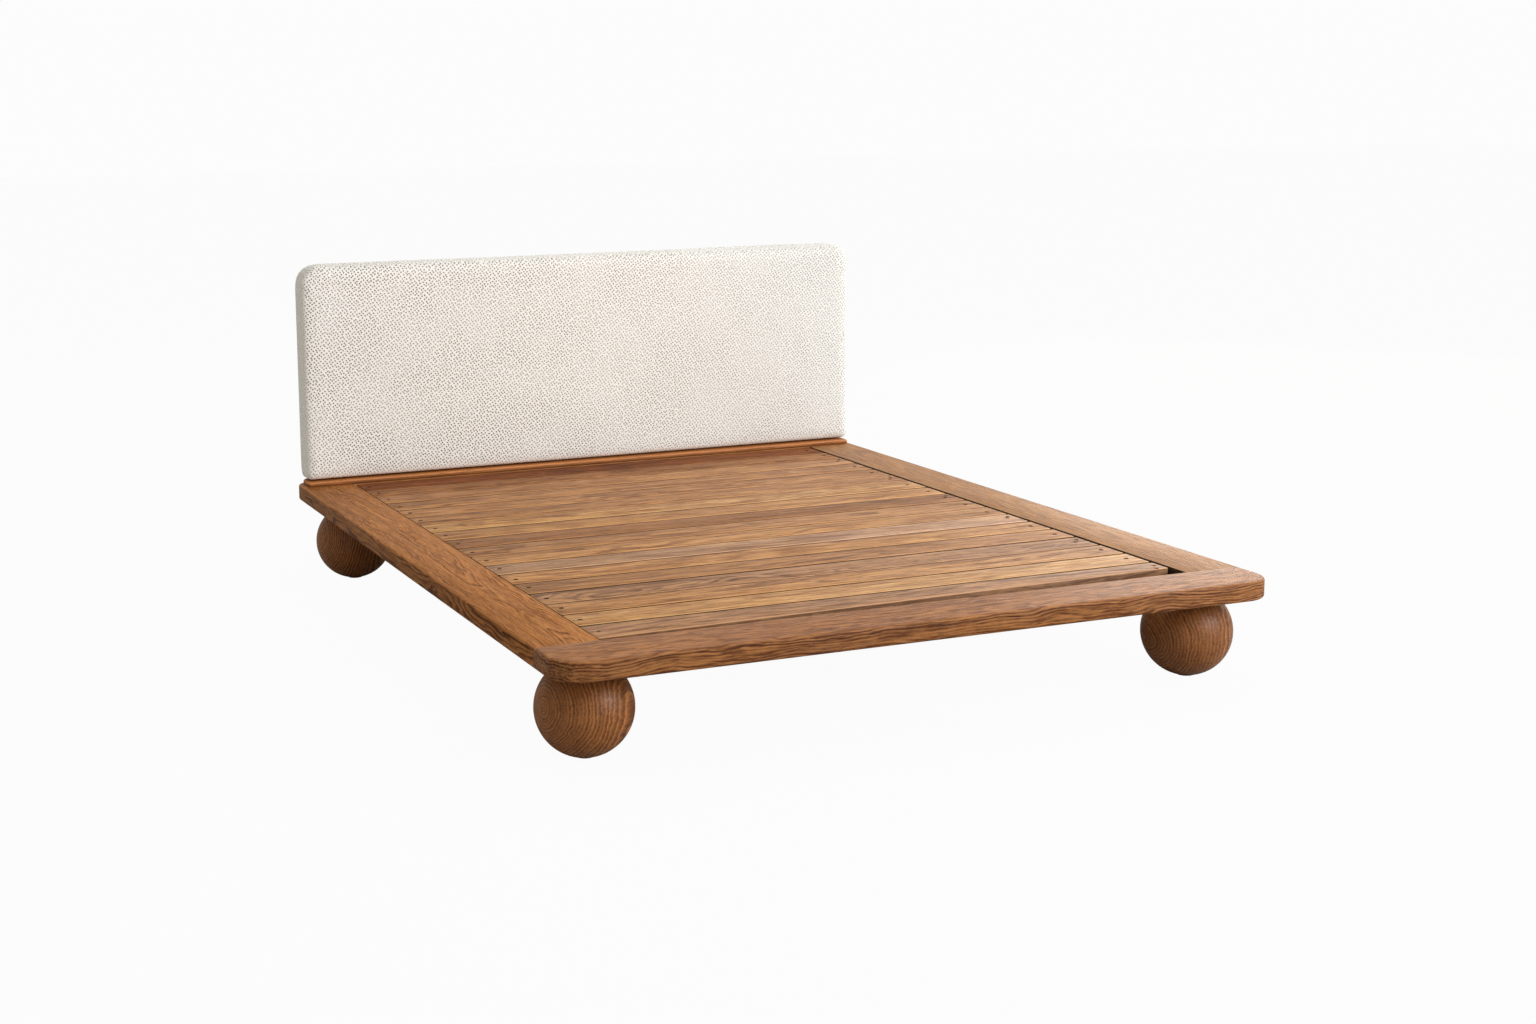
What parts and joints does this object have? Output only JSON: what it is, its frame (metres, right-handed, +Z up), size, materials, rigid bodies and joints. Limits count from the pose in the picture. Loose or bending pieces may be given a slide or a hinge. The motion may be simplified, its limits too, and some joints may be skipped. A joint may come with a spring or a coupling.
{
  "type": "platform bed frame",
  "caption": "Low wooden platform bed frame with rounded corners, a flush slatted deck, ball feet and an upholstered panel headboard.",
  "frame": {"origin": "on the floor, under the middle of the platform", "axes": "+Z up from the floor, +Y from the foot of the bed to the headboard, +X to the right seen from the foot"},
  "size_m": [1.848, 2.284, 0.927],
  "materials": {
    "rail_oak": "satin oiled",
    "slat_oak": "matt oiled",
    "ball_oak": "satin oiled",
    "ledge_oak": "satin oiled",
    "softwood": "planed, unfinished",
    "plywood": "sanded, unfinished",
    "upholstery": "nubby woven cloth",
    "back_cloth": "matt black lining",
    "black_steel": "powder coated",
    "zinc_steel": "zinc plated",
    "felt": "pressed felt"
  },
  "bodies": {
    "frame": {"ball_foot_front_left": "ball_oak", "ball_foot_front_right": "ball_oak", "ball_foot_rear_left": "ball_oak", "ball_foot_rear_right": "ball_oak", "beam_hanger_foot": "black_steel", "beam_hanger_head": "black_steel", "centre_beam": "softwood", "centre_leg_front": "softwood", "centre_leg_rear": "softwood", "foot_glide_front_left": "felt", "foot_glide_front_right": "felt", "foot_glide_rear_left": "felt", "foot_glide_rear_right": "felt", "foot_plate_front_left": "zinc_steel", "foot_plate_front_right": "zinc_steel", "foot_plate_rear_left": "zinc_steel", "foot_plate_rear_right": "zinc_steel", "foot_rail": "rail_oak", "foot_stud_front_left": "zinc_steel", "foot_stud_front_right": "zinc_steel", "foot_stud_rear_left": "zinc_steel", "foot_stud_rear_right": "zinc_steel", "head_rail": "rail_oak", "headboard_back_cover": "back_cloth", "headboard_core": "plywood", "headboard_ledge": "ledge_oak", "headboard_pad": "upholstery", "headboard_strap_left": "black_steel", "headboard_strap_right": "black_steel", "side_rail_left": "rail_oak", "side_rail_right": "rail_oak", "slat_01": "slat_oak", "slat_02": "slat_oak", "slat_03": "slat_oak", "slat_04": "slat_oak", "slat_05": "slat_oak", "slat_06": "slat_oak", "slat_07": "slat_oak", "slat_08": "slat_oak", "slat_09": "slat_oak", "slat_10": "slat_oak", "slat_11": "slat_oak", "slat_12": "slat_oak", "slat_13": "slat_oak", "slat_14": "slat_oak", "slat_15": "slat_oak", "slat_16": "slat_oak", "slat_17": "slat_oak", "slat_18": "slat_oak", "slat_ledger_left": "black_steel", "slat_ledger_right": "black_steel"},
    "leveller_front": {"leveller_front": "zinc_steel"},
    "leveller_rear": {"leveller_rear": "zinc_steel"}
  },
  "joints": [
    {"name": "leveller_front_travel", "type": "slide", "parent": "frame", "child": "leveller_front", "axis": [0, 0, 1], "range_m": [0, 0.012]},
    {"name": "leveller_rear_travel", "type": "slide", "parent": "frame", "child": "leveller_rear", "axis": [0, 0, 1], "range_m": [0, 0.012]}
  ]
}
